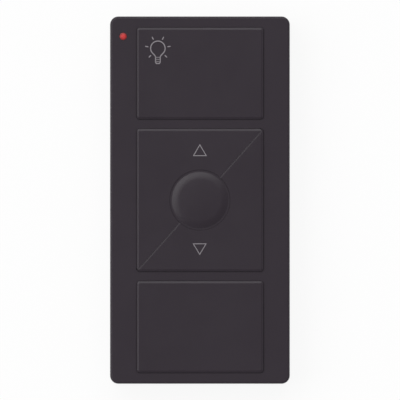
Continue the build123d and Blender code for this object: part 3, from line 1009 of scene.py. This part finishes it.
@dataclass
class CapSkin:
    """Outer moulding of a keycap over its core: flat top, shallow bevel and level rim close to the bezel."""

    outline: Loop
    drops: list[float]
    rim: Loop
    flat: Loop
    depth: float = 0.5 * MM
    lift: float = 0.004 * MM

    def turned(self) -> "CapSkin":
        """The same skin after half a turn about the middle of the face."""
        outline, rim, flat = ([-point for point in loop] for loop in (self.outline, self.rim, self.flat))
        return CapSkin(outline, self.drops, rim, flat)

    def build(self, name: str, body: Body) -> None:
        """Make the skin on top of a keycap's core.

        Args:
            name: Name of the piece.
            body: The keycap's body.
        """
        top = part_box(body.value)[1].z + self.lift
        levels = [top - drop for drop in self.drops]
        shape = prism_shape([
            raised(self.outline, top - self.depth), raised(self.outline, *levels), raised(self.rim, *levels),
            raised(self.flat, top),
        ])
        settle(new_piece(name, shape, CAP_PLASTIC), body)


@dataclass
class RoundCap:
    """Crowned round keycap with a soft bevel, a step inside the ring gap, a flange and a nub."""

    radius: float = 5.05 * MM
    step_r: float = 5.39 * MM
    step_drop: float = 0.06 * MM
    foot_drop: float = 0.05 * MM
    bevel_w: float = 0.85 * MM
    bevel_h: float = 0.32 * MM
    blend: float = 0.55 * MM
    blend_steps: int = 10
    crown_steps: int = 10
    flange_t: float = 0.35 * MM
    flats: int = 128
    nub_half: float = 1.0 * MM
    nub_h: float = 0.72 * MM
    nub_r: float = 0.1 * MM
    nub_flats: int = 3
    nub_sunk: float = 0.05 * MM

    def crown(self, foot: float, top: float) -> Loop:
        """Outline of the bevel and the crown.

        Args:
            foot: Level of the foot of the bevel.
            top: Level of the middle of the crown.

        Returns:
            Radius and level of each point, from the foot to the middle.
        """
        edge = Vector((self.radius - self.bevel_w, foot + self.bevel_h))
        inner_r = edge.x - self.blend
        radii = [inner_r * (1 - step / self.crown_steps) for step in range(self.crown_steps + 1)]
        curve = [Vector((radius, top - (top - edge.y) * (radius / edge.x) ** 2)) for radius in radii]
        start = Vector((edge.x + self.blend, edge.y - self.blend * self.bevel_h / self.bevel_w))
        return [Vector((self.radius, foot)), *bezier([start, edge, curve[0]], self.blend_steps), *curve[1:]]

    def build(self, cap_top: float) -> None:
        """Make the round keycap in place of its core.

        Args:
            cap_top: Level of the tops of the keycaps round it.
        """
        low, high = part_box("favourite_button")
        flange_r = (high.x - low.x) / 2
        under = low.z + self.nub_h
        flange, step = under + self.flange_t, cap_top - self.step_drop
        profile = [
            (0.0, under), (flange_r, under), (flange_r, flange), (self.step_r, flange),
            (self.step_r, step), (self.radius, step), *self.crown(cap_top - self.foot_drop, high.z),
        ]
        corners, faces = turned_shape(profile, Vector((0.0, 0.0, 0.0)), self.flats)
        nub = rounded_rectangle((self.nub_half, self.nub_half), 0.0, self.nub_r, self.nub_flats)
        nub_corners, nub_faces = prism_shape([raised(nub, low.z), raised(nub, under + self.nub_sunk)])
        faces += [tuple(number + len(corners) for number in face) for face in nub_faces]
        piece = new_piece("favourite_cap", (corners + nub_corners, faces), CAP_PLASTIC, smooth=True)
        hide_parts("favourite_button")
        settle(piece, Body.FAVOURITE)


@dataclass
class Keypad:
    """Five keycaps with their printed signs."""

    flange_lap: float = 0.45 * MM
    gap: float = 0.045 * MM
    corner_r: float = 0.53 * MM
    blunt: float = 0.26 * MM
    hole_r: float = 5.42 * MM
    hole_steps: int = 48
    side_rim: float = 0.16 * MM
    end_rim: float = 0.03 * MM
    split_rim: float = 0.004 * MM
    side_bevel: float = 0.2 * MM
    end_bevel: float = 0.36 * MM
    outer_slope: float = 0.36
    split_drop: float = 0.042 * MM
    split_gap: float = 0.012 * MM
    split_aside: float = 0.06 * MM
    lit_bevel: float = 0.25 * MM
    shy_bevel: float = 0.01 * MM
    hole_bevel: float = 0.03 * MM
    print_sunk: float = 0.01 * MM
    print_proud: float = 0.02 * MM
    bulb_at: Pair = (-7.538 * MM, 27.21 * MM)
    up_apex: Pair = (-0.014 * MM, 9.912 * MM)
    up_base: float = 7.967 * MM
    down_apex: Pair = (-0.04 * MM, -9.733 * MM)
    down_base: float = -7.833 * MM

    def opening(self, *nodes: str) -> tuple[Pair, float]:
        """Size of the opening that a keycap or a pair fills, less the running gap.

        Args:
            nodes: The keycaps' CAD nodes, whose flanges lap under the opening's edge.

        Returns:
            Half width and half height, and the place of the middle along Y.
        """
        boxes = [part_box(node) for node in nodes]
        low_y, high_y = min(box[0].y for box in boxes), max(box[1].y for box in boxes)
        trim = self.flange_lap + self.gap
        half_x = max(box[1].x for box in boxes) - trim
        return (half_x, (high_y - low_y) / 2 - trim), (low_y + high_y) / 2

    def rims(self, outline: Loop) -> list[float]:
        """Width of the level rim on each edge of an outline."""
        return edge_widths(outline, self.side_rim, self.end_rim)

    def bevels(self, outline: Loop) -> list[float]:
        """Width of the bevel on each edge of an outline."""
        return edge_widths(outline, self.side_bevel, self.end_bevel)

    def drops(self, before: list[float], after: list[float]) -> list[float]:
        """Fall of the bevel at each corner, from its widths on the edges before and after."""
        return [self.outer_slope * (near + far) / 2 for near, far in zip(before, after)]

    def print_levels(self, body: Body) -> Pair:
        """Lower and upper level of a print on top of a keycap."""
        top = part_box(body.value)[1].z
        return top - self.print_sunk, top + self.print_proud

    def wide_skin(self, body: Body) -> CapSkin:
        """Shape the skin of one full-width keycap.

        Args:
            body: The keycap's body.

        Returns:
            The skin.
        """
        half, centre_y = self.opening(body.value)
        outline = rounded_rectangle(half, centre_y, self.corner_r)
        rims, bevels = self.rims(outline), self.bevels(outline)
        flat = offset_edges(outline, [rim + bevel for rim, bevel in zip(rims, bevels)])
        return CapSkin(outline, self.drops(bevels[-1:] + bevels, bevels), offset_edges(outline, rims), flat)

    def split_skin(self, edge: float, bevel: float) -> CapSkin:
        """Shape the lower right half of the middle opening, parted along the diagonal and round the hole.

        Its two tips are cut blunt, to clear the opening's round corners.

        Args:
            edge: How far the half keeps from the diagonal.
            bevel: Width of its bevel along the diagonal.

        Returns:
            The skin.
        """
        half, _ = self.opening("raise_button", "lower_button")
        angle = math.atan2(half[1] + self.gap, half[0] + self.gap)
        along = polar(1.0, angle)
        start = Vector((along.y, -along.x)) * edge
        foot = start + along * ((-half[1] - start.y) / along.y)
        head = start + along * ((half[0] - start.x) / along.x)
        corner = [point for point in rounded_rectangle(half, 0.0, self.corner_r) if point.x > 0 > point.y]
        part = math.asin(edge / self.hole_r)
        turn = (math.pi - 2 * part) / self.hole_steps
        hole = [polar(self.hole_r, angle - part - turn * step) for step in range(self.hole_steps + 1)]
        sharp, tip = [foot, *corner, head], 1 + len(corner)
        bevels = self.bevels(sharp)[:-1]
        widths = [rim + wide for rim, wide in zip(self.rims(sharp), bevels)]
        widths += [bevel, *([self.hole_bevel] * self.hole_steps), bevel]
        flat = offset_edges([*sharp, *hole], widths)
        blunt = along * self.blunt
        outline = [
            foot + Vector((self.corner_r, 0.0)), *corner, head - Vector((0.0, self.corner_r)), head - blunt,
            *hole, foot + blunt,
        ]
        drops = self.drops(bevels[:1] + bevels, bevels + bevels[-1:]) + [self.split_drop] * (2 + len(hole))
        rims = self.rims(outline)
        rims[tip + 1:-1] = [self.split_rim] * (len(hole) + 1)
        return CapSkin(outline, drops, offset_edges(outline, rims), [*flat[:tip + 1], *flat[tip:], flat[0]])

    def build(self) -> None:
        """Dress the keycaps and print the signs on them."""
        for body in (Body.ON, Body.RAISE, Body.FAVOURITE, Body.LOWER, Body.OFF):
            dress(body.value, CAP_PLASTIC)
        self.wide_skin(Body.ON).build("on_cap", Body.ON)
        self.wide_skin(Body.OFF).build("off_cap", Body.OFF)
        edge = self.split_gap / 2
        self.split_skin(edge - self.split_aside, self.lit_bevel).build("lower_cap", Body.LOWER)
        self.split_skin(edge + self.split_aside, self.shy_bevel).turned().build("raise_cap", Body.RAISE)
        RoundCap().build(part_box("raise_button")[1].z)
        BulbSign(Vector((*self.bulb_at, 0.0)), self.print_levels(Body.ON)).build()
        for name, body, way, apex, base_y in (
            ("brighter_sign", Body.RAISE, Way.UP, self.up_apex, self.up_base),
            ("dimmer_sign", Body.LOWER, Way.DOWN, self.down_apex, self.down_base),
        ):
            ArrowSign(name, body, way, apex, base_y, self.print_levels(body)).build()


@dataclass
class Housing:
    """The two shells, the sliding door and the indicator in the corner of the face."""

    # lens colours: a painted highlight in the middle, and a darker red at the rim
    lens_painted_highlight: Colour = (0.62, 0.05, 0.05)
    lens_rim: Colour = (0.25, 0.02, 0.022)
    lens_r: float = 0.65 * MM

    def build(self) -> None:
        """Dress the shells, the door, the lens and its lamp."""
        for node in ("front_housing", "rear_housing", "battery_door"):
            dress(node, SHELL_PLASTIC)
        low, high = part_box("indicator_lens")
        middle = tuple((low + high) / 2)
        # the lens's colour carries a painted highlight in its middle
        lens = LensPlastic("red lens with painted highlight", self.lens_painted_highlight, self.lens_rim, middle, self.lens_r)
        dress("indicator_lens", lens)
        dress("indicator_lamp", LAMP_RESIN)


@dataclass
class Dome:
    """One sprung steel dome on four legs, under a button."""

    node: str
    joint: str
    legs: int = 4
    reach: float = 2.72 * MM
    side: float = 2.0 * MM
    sheet: float = 0.06 * MM
    top_r: float = 0.9 * MM
    top_fall: float = 0.04
    curve: float = 1.25
    keep: float = 0.22
    rings: int = 14
    steps: int = 72

    def edge(self, angle: float) -> float:
        """Reach of the sheet in one direction: far at the legs, near between them."""
        near_leg = (1 - math.cos(self.legs * angle)) / 2
        return self.side + (self.reach - self.side) * near_leg**2

    def height(self, radius: float, rise: float) -> float:
        """Find the height of the sheet's top above the board.

        Args:
            radius: Distance from the middle.
            rise: Height of the middle.

        Returns:
            The height.
        """
        if radius <= self.top_r:
            return rise - self.top_fall * rise * (radius / self.top_r) ** 2
        fall = (radius - self.top_r) / (self.reach - self.top_r)
        return self.sheet + ((1 - self.top_fall) * rise - self.sheet) * (1 - fall) ** self.curve

    def ring(self, foot: Vector, rise: float, share: float) -> Loop:
        """Follow one ring of the sheet's top.

        Args:
            foot: Point on the board under the middle.
            rise: Height of the middle.
            share: How far out the ring is, up to 1 at the edge.

        Returns:
            Its corners, anticlockwise.
        """
        turns = [math.tau * step / self.steps for step in range(self.steps)]
        spots = [(self.edge(turn) * share, turn) for turn in turns]
        return [foot + Vector((*polar(*spot), self.height(spot[0], rise))) for spot in spots]

    def build(self) -> None:
        """Make the sheet in place of the CAD dome, carried by the case."""
        low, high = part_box(self.node)
        middle, rise = (low + high) / 2, high.z - low.z
        foot = Vector((middle.x, middle.y, low.z))
        upper = [self.ring(foot, rise, number / self.rings) for number in range(1, self.rings + 1)]
        under = [[corner - UP * self.sheet for corner in loop] for loop in upper]
        shape = poled_shape(foot + UP * (rise - self.sheet), under + upper[::-1], foot + UP * rise)
        piece = new_piece(self.node.replace("dome", "spring"), shape, DOME_STEEL, smooth=True)
        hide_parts(self.node)
        settle(piece, Body.CASE)
        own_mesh(piece)


@dataclass
class Board:
    """Circuit board with its film, domes, chips, capacitors and antenna."""

    controller_pads: int = 8
    radio_pads: int = 6
    pad_t: float = 0.02 * MM
    pad_length: float = 0.5 * MM
    pad_out: float = 0.12 * MM
    pad_share: float = 0.5
    row_share: float = 0.84
    dot_r: float = 0.3 * MM
    dot_t: float = 0.01 * MM
    dot_foot_share: float = 0.8
    dot_radii_in: float = 3.0
    dot_flats: int = 32
    capacitors: int = 7
    capacitor_length: float = 1.0 * MM
    end_length: float = 0.25 * MM
    end_proud: float = 0.02 * MM

    def build(self) -> None:
        """Dress the board and make its small details."""
        for node, finish in {
            "circuit_board": BOARD_FINISH, "dome_spacer": SPACER_FILM, "controller_chip": CHIP_RESIN,
            "radio_chip": CHIP_RESIN, "crystal": CRYSTAL_METAL, "chip_capacitors": CERAMIC,
            "antenna_loop": COPPER,
        }.items():
            dress(node, finish)
        for name in ("on", "raise", "favourite", "lower", "off"):
            dress(f"{name}_dome", DOME_STEEL)
            Dome(f"{name}_dome", f"{name}_press").build()
        self.chip_details("controller_chip", self.controller_pads)
        self.chip_details("radio_chip", self.radio_pads)
        self.capacitor_ends()

    def chip_details(self, node: str, per_side: int) -> None:
        """Make the solder pads and the first-pin dot of one chip.

        Args:
            node: The chip's CAD node.
            per_side: Pads along each side.
        """
        low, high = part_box(node)
        middle, half = (low + high) / 2, (high.x - low.x) / 2
        pitch = 2 * half * self.row_share / per_side
        settle(grow(f"{node}_pads", leg_tree(), SOLDER, {
            "Centre": (middle.x, middle.y, high.z - self.pad_t / 2), "Reach": half + self.pad_out,
            "Count": per_side, "Pitch": pitch, "Pad": (self.pad_share * pitch, self.pad_length, self.pad_t),
        }), Body.CASE)
        radius, thick, away = self.dot_r, self.dot_t, self.dot_radii_in * self.dot_r
        foot_r = self.dot_foot_share * radius
        profile = [(0.0, -thick), (foot_r, -thick), (radius, 0.0), (radius, thick), (0.0, thick)]
        dot = turned_shape(profile, Vector((low.x + away, high.y - away, low.z)), self.dot_flats)
        settle(new_piece(f"{node}_dot", dot, CHIP_INK), Body.CASE)

    def capacitor_ends(self) -> None:
        """Make the tinned ends of the row of capacitors."""
        low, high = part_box("chip_capacitors")
        step = (high.x - low.x - self.capacitor_length) / (self.capacitors - 1)
        block = (self.end_length, high.y - low.y + 2 * self.end_proud, high.z - low.z + self.end_proud)
        inside = self.end_length / 2 - self.end_proud
        for name, x in (("near", low.x + inside), ("far", low.x + self.capacitor_length - inside)):
            settle(grow(f"capacitor_ends_{name}", row_tree(), SOLDER, {
                "First": (x, (low.y + high.y) / 2, high.z - block[2] / 2), "Step": (step, 0.0, 0.0),
                "Count": self.capacitors, "Block": block,
            }), Body.CASE)


@dataclass
class Battery:
    """Coin cell with its stamped plus sign, and the two spring contacts."""

    plus_arm: float = 2.2 * MM
    plus_width: float = 0.7 * MM
    plus_stroke: float = 0.18 * MM
    plus_sunk: float = 0.01 * MM
    plus_proud: float = 0.02 * MM

    def build(self) -> None:
        """Dress the cell and the contacts, and make the plus sign on the rear of the can."""
        dress("coin_cell", CELL_STEEL)
        dress("positive_contact", CONTACT_STEEL)
        dress("negative_contact", CONTACT_STEEL)
        low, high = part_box("coin_cell")
        middle = ((low + high) / 2).xy
        arm, half = self.plus_arm, self.plus_width / 2
        quarter = [Vector((half, half)), Vector((half, arm)), Vector((-half, arm))]
        turns = [Matrix.Rotation(turn * QUARTER, 2) for turn in range(4)]
        outline = [middle + turn @ point for turn in turns for point in quarter]
        levels = (low.z - self.plus_proud, low.z + self.plus_sunk)
        plus = stroke_ring("cell_plus_sign", outline, self.plus_stroke, levels, ETCHED_STEEL)
        settle(plus, Body.CASE)


@dataclass
class Studio:
    """Pale floor, two soft lamps to the left and at the top, and a camera straight above the face."""

    sky: float = 0.35
    wall_low: float = 0.35
    wall_high: float = 0.65
    lamp_power: float = 27.0
    lamp_size: Pair = (2.4, 1.8)
    lamp_away: float = 2.4
    lamps_from: tuple[tuple[float, float, float], ...] = ((-0.68, 0.17, 0.8), (-0.04, 0.7, 0.8))
    floor_half: float = 8.0
    floor_drop: float = 0.05 * MM
    floor_white: float = 0.9
    floor_tones: Pair = (0.95, 0.97)
    floor_patch: float = 25.0 * MM
    lens: float = 1000.0
    sensor: float = 36.0
    aim: tuple[float, float, float] = (0.0126 * MM, 0.018 * MM, 2.6 * MM)
    field: float = 71.88 * MM

    @staticmethod
    def seen_white(wiring: Wiring, share: Any = 1.0) -> Socket:
        """Mask of the rays that see the white ground: from the camera, mirrored or through clear plastic.

        Args:
            wiring: Wiring of the floor or of the world.
            share: How much of it the rays that don't come from the camera see.

        Returns:
            The mask.
        """
        rays = wiring.node("ShaderNodeLightPath").outputs
        mirrored = wiring.maths("MAXIMUM", rays["Is Glossy Ray"], rays["Is Transmission Ray"])
        return wiring.maths("MAXIMUM", rays["Is Camera Ray"], wiring.maths("MULTIPLY", mirrored, share))

    def make_world(self) -> None:
        """Light from all round, with a white wall up to a dim ceiling where it is seen."""
        world = bpy.data.worlds.new("studio")
        world.use_nodes = True
        wiring = Wiring(world.node_tree)
        ray = wiring.node("ShaderNodeTexCoord").outputs["Generated"]
        wall = wiring.node("ShaderNodeMapRange", {
            "Value": wiring.node("ShaderNodeSeparateXYZ", {0: ray}).outputs["Z"],
            "From Min": self.wall_low, "From Max": self.wall_high, "To Min": 1.0, "To Max": 0.0,
        }, interpolation_type="SMOOTHSTEP").outputs["Result"]
        soft, white = (
            wiring.node("ShaderNodeBackground", {"Color": shade(WHITE), "Strength": strength}).outputs[0]
            for strength in (self.sky, 1.0)
        )
        mix = wiring.node("ShaderNodeMixShader", {0: self.seen_white(wiring, wall), 1: soft, 2: white})
        wiring.node("ShaderNodeOutputWorld", {"Surface": mix.outputs[0]})
        bpy.context.scene.world = world

    def make_floor(self) -> None:
        """Pale floor just under the remote, clear from below so that the rear can be seen."""
        material, wiring = new_material("pale studio floor")
        tone = wiring.noise(wiring.place(), self.floor_patch, detail=2.0)
        pale = wiring.blend(tone, *(shade(WHITE, share) for share in self.floor_tones))
        matt = wiring.node("ShaderNodeBsdfDiffuse", {"Color": pale})
        white = wiring.node("ShaderNodeEmission", {"Color": shade(WHITE), "Strength": 1.0})
        share = wiring.maths("MULTIPLY", self.seen_white(wiring), self.floor_white)
        upper = wiring.node("ShaderNodeMixShader", {0: share, 1: matt.outputs[0], 2: white.outputs[0]})
        behind = wiring.node("ShaderNodeNewGeometry").outputs["Backfacing"]
        clear = wiring.node("ShaderNodeBsdfTransparent")
        both = wiring.node("ShaderNodeMixShader", {0: behind, 1: upper.outputs[0], 2: clear.outputs[0]})
        wiring.node("ShaderNodeOutputMaterial", {"Surface": both.outputs[0]})
        half, level = self.floor_half, CAD_BOX[0].z - self.floor_drop
        corners = [(-half, -half, level), (half, -half, level), (half, half, level), (-half, half, level)]
        mesh = bpy.data.meshes.new("studio_floor")
        mesh.from_pydata(corners, [], [(0, 1, 2, 3)])
        mesh.materials.append(material)
        add_object("studio_floor", mesh)

    def make_lamps(self) -> None:
        """Large soft lamps, all alike."""
        data = bpy.data.lights.new("soft_lamp", "AREA")
        data.energy, data.shape = self.lamp_power, "RECTANGLE"
        data.size, data.size_y = self.lamp_size
        for place in self.lamps_from:
            lamp = add_object("soft_lamp", data)
            towards = Vector(place).normalized()
            lamp.location = towards * self.lamp_away
            lamp.rotation_euler = towards.to_track_quat("Z", "Y").to_euler()

    def make_camera(self) -> None:
        """Long lens straight above the face, with the indicator end up."""
        data = bpy.data.cameras.new("camera")
        data.lens, data.sensor_width = self.lens, self.sensor
        camera = add_object("camera", data)
        camera.location = Vector(self.aim) + UP * (self.field * self.lens / self.sensor)
        bpy.context.scene.camera = camera

    def build(self) -> None:
        """Set up the whole studio."""
        bpy.context.scene.view_settings.view_transform = "Standard"
        self.make_world()
        self.make_floor()
        self.make_lamps()
        self.make_camera()


def main() -> None:
    """Build the studio and every sub-assembly in order."""
    logging.basicConfig(level=logging.INFO, format="%(name)s: %(message)s")
    for assembly in (Studio(), Housing(), Keypad(), Board(), Battery()):
        assembly.build()
        LOG.info("%s done", type(assembly).__name__)


if __name__ == "__main__":
    main()
